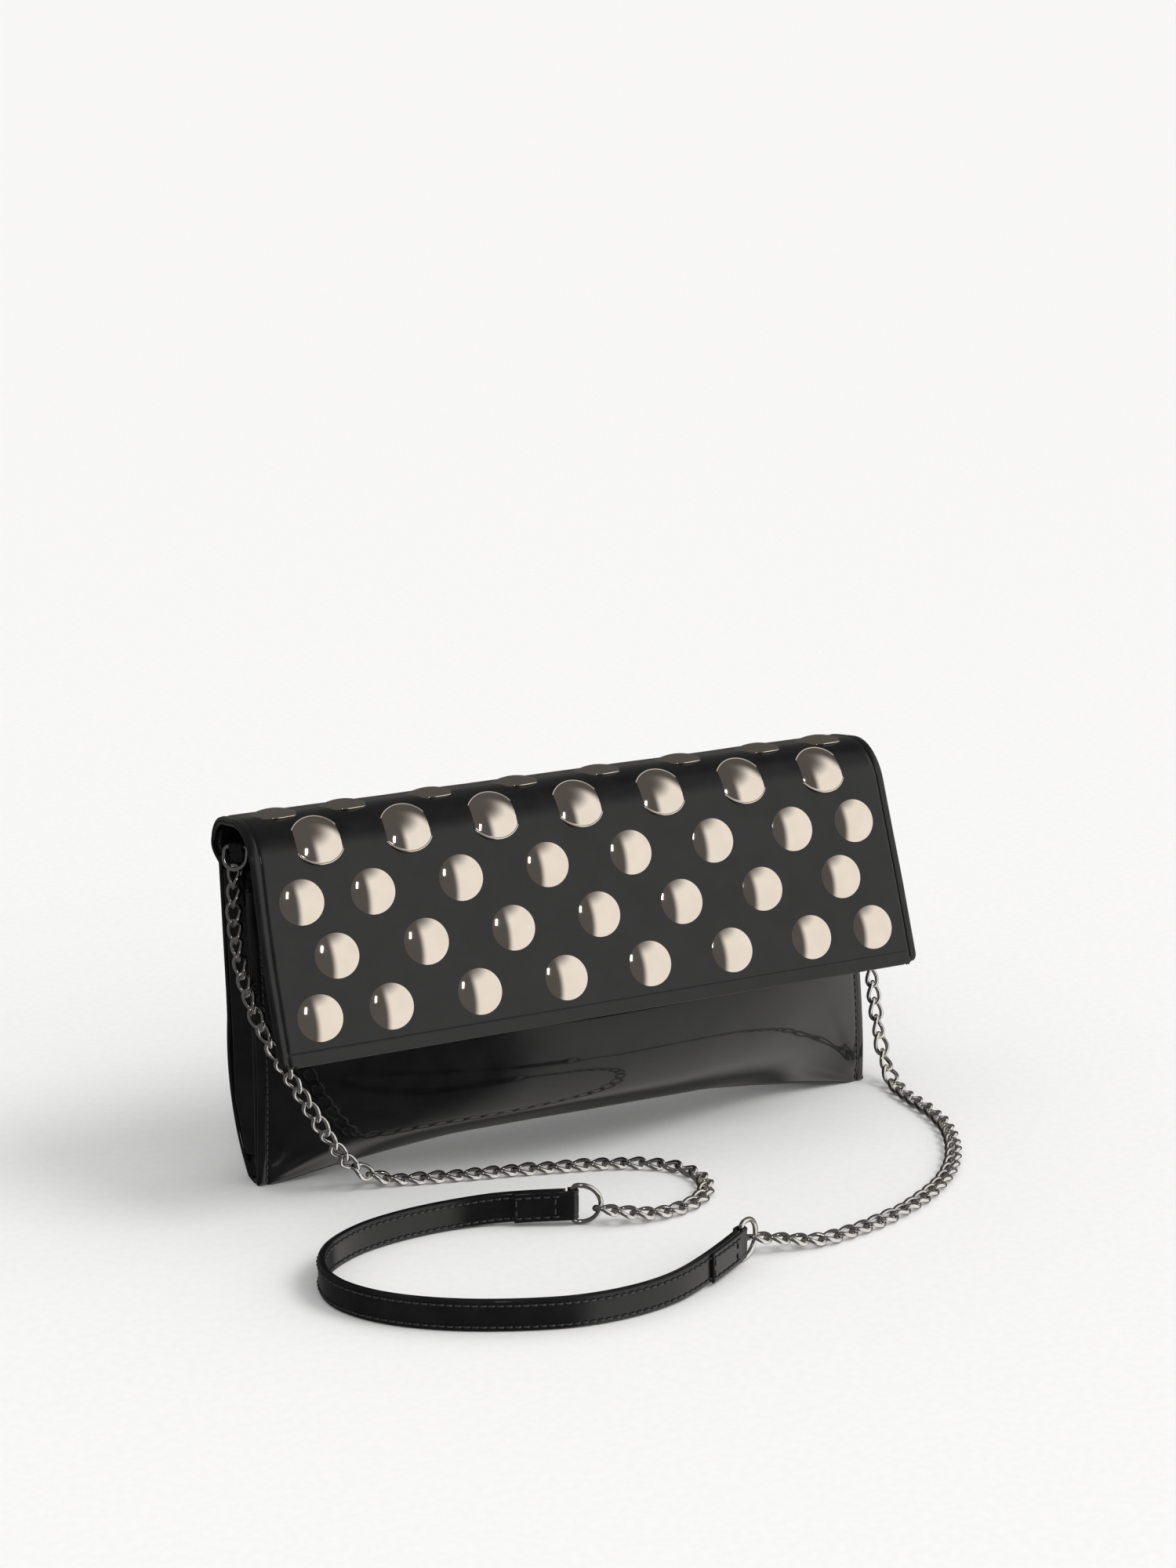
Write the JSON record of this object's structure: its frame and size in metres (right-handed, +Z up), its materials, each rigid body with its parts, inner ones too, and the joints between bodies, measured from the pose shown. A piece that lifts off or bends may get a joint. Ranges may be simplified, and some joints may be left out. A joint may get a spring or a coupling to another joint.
{
  "type": "studded flap clutch bag with chain shoulder strap",
  "caption": "A soft leather flap clutch with domed metal studs, V gussets, a magnetic snap under the flap, and a chain and leather shoulder strap lying in front of it.",
  "frame": {"origin": "centre of the bag's outline seen from above, on the surface it stands on; the loose chain and strap are left out", "axes": "+X across the bag to the viewer's right, +Y from the front to the back, +Z up; the flap's front faces -Y"},
  "size_m": [0.2908, 0.1968, 0.1501],
  "materials": {
    "patent_leather": "black patent leather with a glossy film",
    "lining": "black woven lining cloth",
    "board": "plain grey-brown bonded fibre board",
    "nickel": "polished nickel plating",
    "plain_steel": "plain bright steel",
    "magnet": "plain dark ferrite"
  },
  "bodies": {
    "bag": {"front_panel": "patent_leather", "front_board": "board", "front_lining": "lining", "back_panel": "patent_leather", "back_board": "board", "back_lining": "lining", "slip_pocket": "lining", "gusset_left": "patent_leather", "gusset_right": "patent_leather", "flap_back_strip": "patent_leather", "snap_socket": "nickel", "snap_magnet": "magnet", "snap_socket_washer": "plain_steel", "anchor_tab_left": "patent_leather", "anchor_tab_right": "patent_leather", "chain_left": "nickel", "strap_ring_left": "nickel", "strap_end_left": "patent_leather", "strap": "patent_leather", "strap_end_right": "patent_leather", "strap_ring_right": "nickel", "chain_right": "nickel"},
    "flap": {"flap_cover": "patent_leather", "flap_board": "board", "flap_lining": "lining", "studs_row_1": "nickel", "studs_row_2": "nickel", "studs_row_3": "nickel", "studs_row_4": "nickel", "studs_row_5": "nickel", "stud_backs_row_1": "plain_steel", "stud_backs_row_2": "plain_steel", "stud_backs_row_3": "plain_steel", "stud_backs_row_4": "plain_steel", "stud_backs_row_5": "plain_steel", "snap_plug": "nickel", "snap_plug_washer": "plain_steel"},
    "ring_left": {"anchor_ring_left": "nickel"},
    "ring_right": {"anchor_ring_right": "nickel"}
  },
  "joints": [
    {"name": "flap_hinge", "type": "hinge", "parent": "bag", "child": "flap", "pos_m": [0, 0.0393, 0.127], "axis": [-1, 0, 0], "range_deg": [0, 175]},
    {"name": "ring_swing_left", "type": "hinge", "parent": "bag", "child": "ring_left", "pos_m": [-0.12793, 0.03055, 0.1315], "axis": [-0.8143, 0.5804, 0], "range_deg": [0, 90]},
    {"name": "ring_swing_right", "type": "hinge", "parent": "bag", "child": "ring_right", "pos_m": [0.12793, 0.03055, 0.1315], "axis": [-0.8143, -0.5804, 0], "range_deg": [0, 90]}
  ]
}
